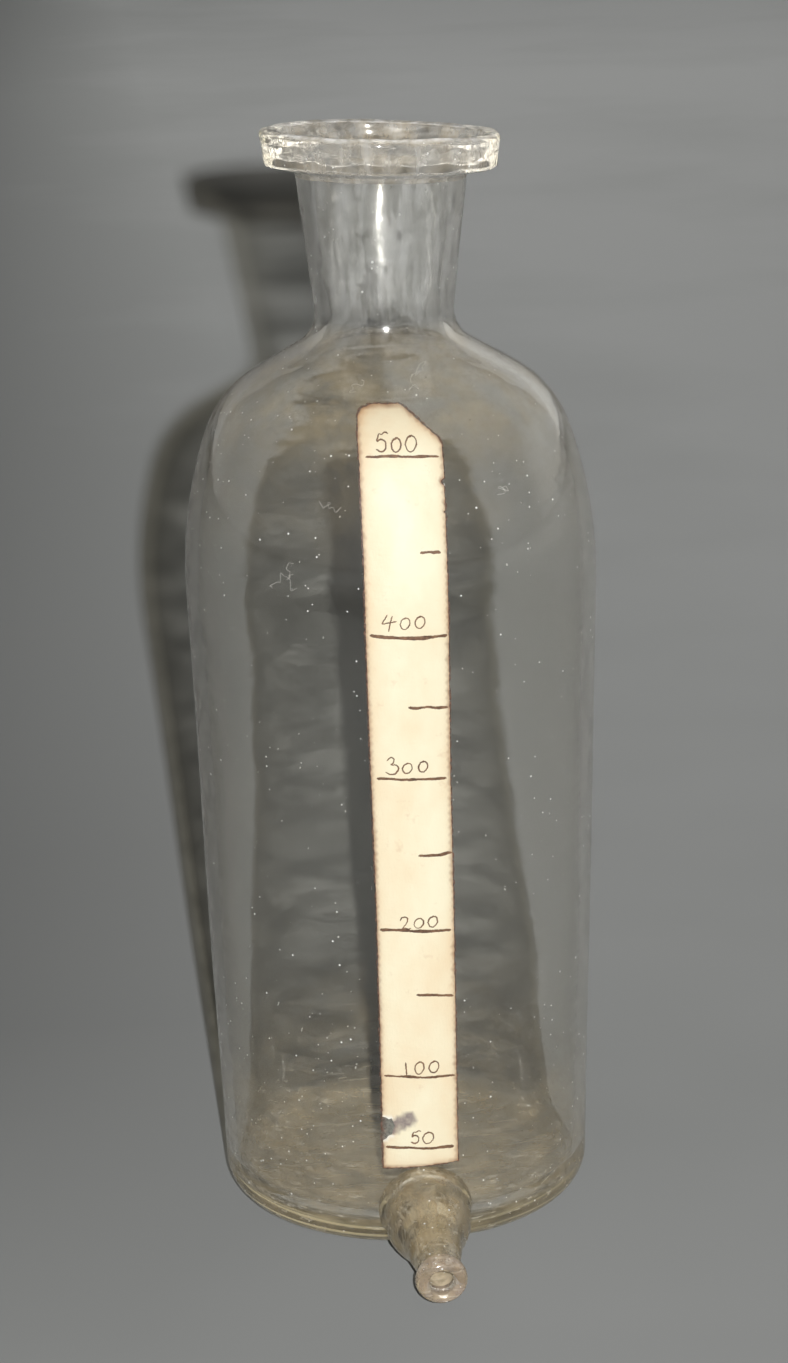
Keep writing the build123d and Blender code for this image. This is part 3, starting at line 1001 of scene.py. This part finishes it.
def stroke(shell, points, width, seed):
    """One pen stroke: a flat closed ribbon on the paper whose width swells and thins."""
    line = smooth_line(points)
    along = np.concatenate([[0], np.cumsum(norm(np.diff(line, axis=0), axis=1))])
    direction = unit(np.gradient(line, axis=0))
    side = np.stack([-direction[:, 1], direction[:, 0]], -1)
    phase = np.stack([along, 0 * along + seed * 7.3, 0 * along], -1)
    swell = 1 + 0.22 * waves(phase, 1.2, 5, seed=seed)
    ends = np.minimum(along, along[-1] - along)
    taper = 0.45 + 0.55 * ease(0, 0.35, ends)
    half = (width / 2 * swell * taper)[:, None]
    rough = 0.03 * np.random.default_rng(seed).normal(size=(len(line), 1))
    left, right = line + side * (half + rough), line - side * (half - rough)
    rows = [shell.row(outward(p, d)) for p, d in
            ((left, INK[0]), (left, INK[1]), (right, INK[1]), (right, INK[0]))]
    shell.wrap(rows, closed=False)
    shell.face([row[0] for row in rows])
    shell.face([row[-1] for row in reversed(rows)])


def make_rules(name, rules, material):
    """Ruled lines that sag and waver a little."""
    shell = Shell()
    share = np.linspace(0, 1, 7)
    for seed, (start, end, sag, width) in enumerate(rules, 50 + len(rules)):
        waver = np.random.default_rng(seed).normal(0, 0.06, len(share))
        x = start[0] + (end[0] - start[0]) * share
        z = start[1] + (end[1] - start[1]) * share + sag * np.sin(pi * share) + waver
        stroke(shell, np.stack([x, z], -1), width, seed)
    return shell.object(name, material, 30)


def make_figures(material):
    """The numbers, each standing over its line."""
    shell = Shell()
    seed = 70
    for number, ((start, end, *_), places) in SCALE.items():
        base = (start[1] + end[1]) / 2
        for figure, (left, foot, width, height) in zip(number, places):
            for points in STROKES[figure]:
                seed += 1
                line = np.array(points) / 100 * (width, height) + (left, base + foot)
                stroke(shell, line, FIGURE_PEN, seed)
    return shell.object("ink_numerals", material, 30)


def make_lint(material):
    """Fibres of lint that cling to the shoulder."""
    shell = Shell()
    turns = (np.arange(6) * 2 * pi / 6)[:, None]
    for seed, (x, z, size) in enumerate(LINT, 90):
        random = np.random.default_rng(seed)
        walk = np.cumsum(random.normal(size=(11, 2)), 0)
        walk *= size / np.abs(walk - walk.mean(0)).max()
        line = smooth_line(walk - walk.mean(0) + (x, z), 0.25)
        spots = outward(line, LINT_RADIUS + 0.01 + 0.25 * np.abs(np.sin(np.linspace(0, 5, len(line)))))
        along = np.gradient(spots, axis=0)
        side = unit(np.cross(along, spots * (1, 1, 0)))
        rise = unit(np.cross(side, along))
        rows = [shell.row(spot + LINT_RADIUS * (np.cos(turns) * across + np.sin(turns) * up))
                for spot, across, up in zip(spots, side, rise)]
        shell.stack(rows)
        shell.face(rows[0])
        shell.face(rows[-1])
    return shell.object("lint_fibres", material)


# ---- the pieces
THIN_VEIL = ((0.94, 0.94, 0.93), (0.60, 0.59, 0.57))
THICK_VEIL = ((0.55, 0.54, 0.52), (0.25, 0.24, 0.22))
glass = glass_material("clear_glass", 0.00005, 28.0, 0.04, 0.09, THIN_VEIL)
lip_glass = glass_material("lip_glass", 0.0003, 24.0, 0.10, 1.05, THICK_VEIL, (0.02, 0.26),
                           (0.72, 0.61, 0.45), worn_highlit_rim=True)
nozzle_glass = glass_material("nozzle_glass", 0.00006, 65.0, 0.035, 0.14, THICK_VEIL, (0.0, 0.07),
                              (0.62, 0.39, 0.20), lit_deposit=True)
bead_glass = glass_material("bead_glass", 0.0001, 40.0, 0.10, 0.5, THICK_VEIL, (0.10, 0.24),
                            (0.80, 0.58, 0.48))
# Brown-black iron gall ink, browner where the pen was running dry, and pale cotton lint.
ink = mottled_material("iron_gall_ink", 1400, 3.0, 0.6, (0.075, 0.038, 0.02, 1), (0.26, 0.14, 0.075, 1), 0.6)
cotton = mottled_material("lint", 400, 2.0, 0.5, (0.70, 0.68, 0.62, 1), (0.88, 0.87, 0.82, 1), 0.9)

for piece, cad_node, slot in (
    (make_bottle().object("glass_bottle", glass), "bottle_body", "clear_glass"),
    (make_lip().object("glass_lip", lip_glass), "lip_ring", "clear_glass"),
    (make_nozzle().object("glass_nozzle", nozzle_glass), "outlet_nozzle", "clear_glass"),
    (make_bead().object("glass_bead", bead_glass), "nozzle_bead", "clear_glass"),
    (make_gum(gum_material()), "gum_film", "dried_gum"),
    (make_paper(paper_material()), "paper_scale", "aged_paper"),
    (make_rules("ink_lines_numbered", NUMBERED, ink), "ink_numbered_lines", "iron_gall_ink"),
    (make_rules("ink_lines_halfway", HALFWAY, ink), "ink_halfway_lines", "iron_gall_ink"),
    (make_figures(ink), "ink_figures", "iron_gall_ink"),
):
    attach(piece, "root")
    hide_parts(cad_node)

lint = make_lint(cotton)
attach(lint, "root")


# ---- stage, light and camera
FLOOR_REACH = 60.0
FLOOR_DROP = 0.0002
NAP_LEAN = radians(45)


def make_floor():
    """A wide pale cloth. Its nap leans to the front near the bottle, and toward the bottle far
    from it, so that it catches the light evenly."""
    mesh = bpy.data.meshes.new("floor")
    corners = [(x * FLOOR_REACH, y * FLOOR_REACH, 0) for x, y in ((-1, -1), (1, -1), (1, 1), (-1, 1))]
    mesh.from_pydata(corners, [], [(0, 1, 2, 3)])
    material = new_material("grey_cloth")
    x, y = (part_of(place_of(), axis) for axis in "XY")
    # The tone also darkens towards the left: painted shade.
    tone = maths("ADD", patchy(5, 3.0, 0.55, 0.25, 0.75), levels(x, -0.2, 0.2, -1.3, 0.5))
    colour = blend(tone, (0.235, 0.239, 0.232, 1), (0.275, 0.278, 0.272, 1))
    # Painted shade, darker to the left behind the bottle, and painted light, brighter far off, which evens
    # out the flash's fall-off.
    painted_shade_left_behind = times(levels(x, -0.10, 0.015, 1.0, 0.0), levels(y, -0.09, 0.09))
    shade = times(levels(y, 0.2, 1.8, 1.0, 2.2), levels(painted_shade_left_behind, 0, 1, 1.0, 0.58))
    shade = node("CombineXYZ", {axis: shade for axis in "XYZ"})[0]
    colour = blend(1.0, colour, shade, "MULTIPLY")
    flat = node("CombineXYZ", {"X": x, "Y": y})[0]
    far = levels(vectors("LENGTH", flat), 0.5, 1.6)
    lean = blend(far, (0, 1, 0, 1), vectors("NORMALIZE", flat))
    lean = vectors("MULTIPLY", lean, (-sin(NAP_LEAN),) * 3)
    nap = vectors("ADD", lean, (0, 0, cos(NAP_LEAN)))
    cloth = node("BsdfDiffuse", {"Color": colour, "Normal": nap})[0]
    node("OutputMaterial", {"Surface": cloth})
    mesh.materials.append(material)
    add_object("floor", mesh, (0, 0, -FLOOR_DROP))


def even_light(name, kind, place, power, turn=(0, 0, 0), reach=None):
    """A lamp that doesn't weaken with distance. reach gives shares that scale its strength."""
    light = bpy.data.lights.new(name, kind)
    light.energy = power
    fill_nodes_of(light, clear=False)
    strength = node("LightFalloff", {"Strength": 1.0})["Constant"]
    if reach:
        strength = times(strength, *reach())
    tree.links.new(strength, tree.nodes["Emission"].inputs["Strength"])
    add_object(name, light, place, turn)
    return light


def far_floor_only():
    """Shares of a lamp's light: none near it, and none behind the bottle."""
    distance = node("LightPath")["Ray Length"]
    behind = part_of(place_of("Normal"), "Y")
    return levels(distance, 0.82, 2.4), levels(behind, 0.2, 0.7, 1.0, 0.0)


CAMERA_TURN = radians(-5.5)
CAMERA_DISTANCE = 0.6329
CAMERA_HEIGHT = 0.2794
CAMERA_PITCH = 0.279
CAMERA_ROLL = radians(1.5)
LENS = 95.03


def make_camera():
    data = bpy.data.cameras.new("camera")
    data.sensor_width, data.lens = 36.0, LENS
    data.clip_start, data.clip_end = 0.01, 200.0
    aside, along = sin(CAMERA_TURN), cos(CAMERA_TURN)
    ahead = Vector((-aside * cos(CAMERA_PITCH), along * cos(CAMERA_PITCH), -sin(CAMERA_PITCH)))
    turned = ahead.to_track_quat("-Z", "Y").to_euler()
    roll = Euler((0, 0, -CAMERA_ROLL)).to_matrix()
    place = (CAMERA_DISTANCE * aside, -CAMERA_DISTANCE * along, CAMERA_HEIGHT)
    camera = add_object("camera", data, place, (turned.to_matrix() @ roll).to_euler())
    scene.camera = camera
    return camera


# How bright the room's grey walls look, and how brightly they light what stands in it.
ROOM_SEEN = 0.95
ROOM_LIGHT = 0.25

# Soft bright patches of the studio's walls and ceiling: direction, angular radius, brightness.
SOFT_PATCHES = (
    ((-0.60, 0.70, 0.37), 30, 0.4),
    ((0.61, 0.70, 0.37), 42, 1.5),
    ((0.0, 0.1, 1.0), 30, 0.5),
    ((1.0, 0.25, 0.20), 18, 1.2),
)

# The broad soft light behind the camera, which only rays caught inside thick glass find.
FRONT_GLOW = ((0.0, -0.95, 0.30), 80, 5.0)


def glow(direction, toward, radius, brightness):
    """A soft round patch of brightness in the room, about the direction toward."""
    facing = vectors("DOT_PRODUCT", direction, tuple(Vector(toward).normalized()))
    return levels(facing, cos(radians(radius)), 1.0, 0.0, brightness, interpolation_type="SMOOTHSTEP")


def make_world():
    """An even grey room with a few soft bright patches, which light the glass's edges."""
    world = bpy.data.worlds.new("studio")
    fill_nodes_of(world)
    direction = place_of("Generated")
    path = node("LightPath")
    seen = maths("MAXIMUM", path["Is Camera Ray"], path["Is Glossy Ray"])
    seen = maths("MAXIMUM", seen, path["Is Transmission Ray"])
    caught = maths("GREATER_THAN", path["Glossy Depth"], CAUGHT_BOUNCES)
    brightness = times(caught, path["Is Transmission Ray"], glow(direction, *FRONT_GLOW))
    for patch in SOFT_PATCHES:
        brightness = maths("ADD", brightness, glow(direction, *patch))
    brightness = maths("ADD", times(seen, brightness), levels(seen, 0, 1, ROOM_LIGHT, ROOM_SEEN))
    sky = node("Background", {"Color": (0.235, 0.237, 0.232, 1), "Strength": brightness})
    node("OutputWorld", {"Surface": sky[0]})
    scene.world = world


# The flash sits beside the lens and looks at the bottle's middle.
FLASH_ASIDE = 0.020
FLASH_OVER = 0.012
FLASH_SIZE = 0.006
FLASH_POWER = 10.8
MIDDLE = Vector((0, 0, 0.09))
FAR_PLACE = (0, -0.2, 0.8)
FAR_POWER = 64.0

make_floor()
make_world()
camera = make_camera()
to_right = camera.matrix_basis.to_3x3() @ Vector((1, 0, 0))
flash_place = camera.location + to_right * FLASH_ASIDE + Vector((0, 0, FLASH_OVER))
aim = (MIDDLE - flash_place).to_track_quat("-Z", "Y").to_euler()
flash = even_light("flash", "AREA", flash_place, FLASH_POWER, aim)
flash.shape = "RECTANGLE"
flash.size = flash.size_y = FLASH_SIZE
far_floor = even_light("far_floor", "POINT", FAR_PLACE, FAR_POWER, reach=far_floor_only)
far_floor.shadow_soft_size = 0.1
scene.view_settings.view_transform = "Standard"
scene.cycles.max_bounces, scene.cycles.glossy_bounces, scene.cycles.transmission_bounces = 20, 14, 16
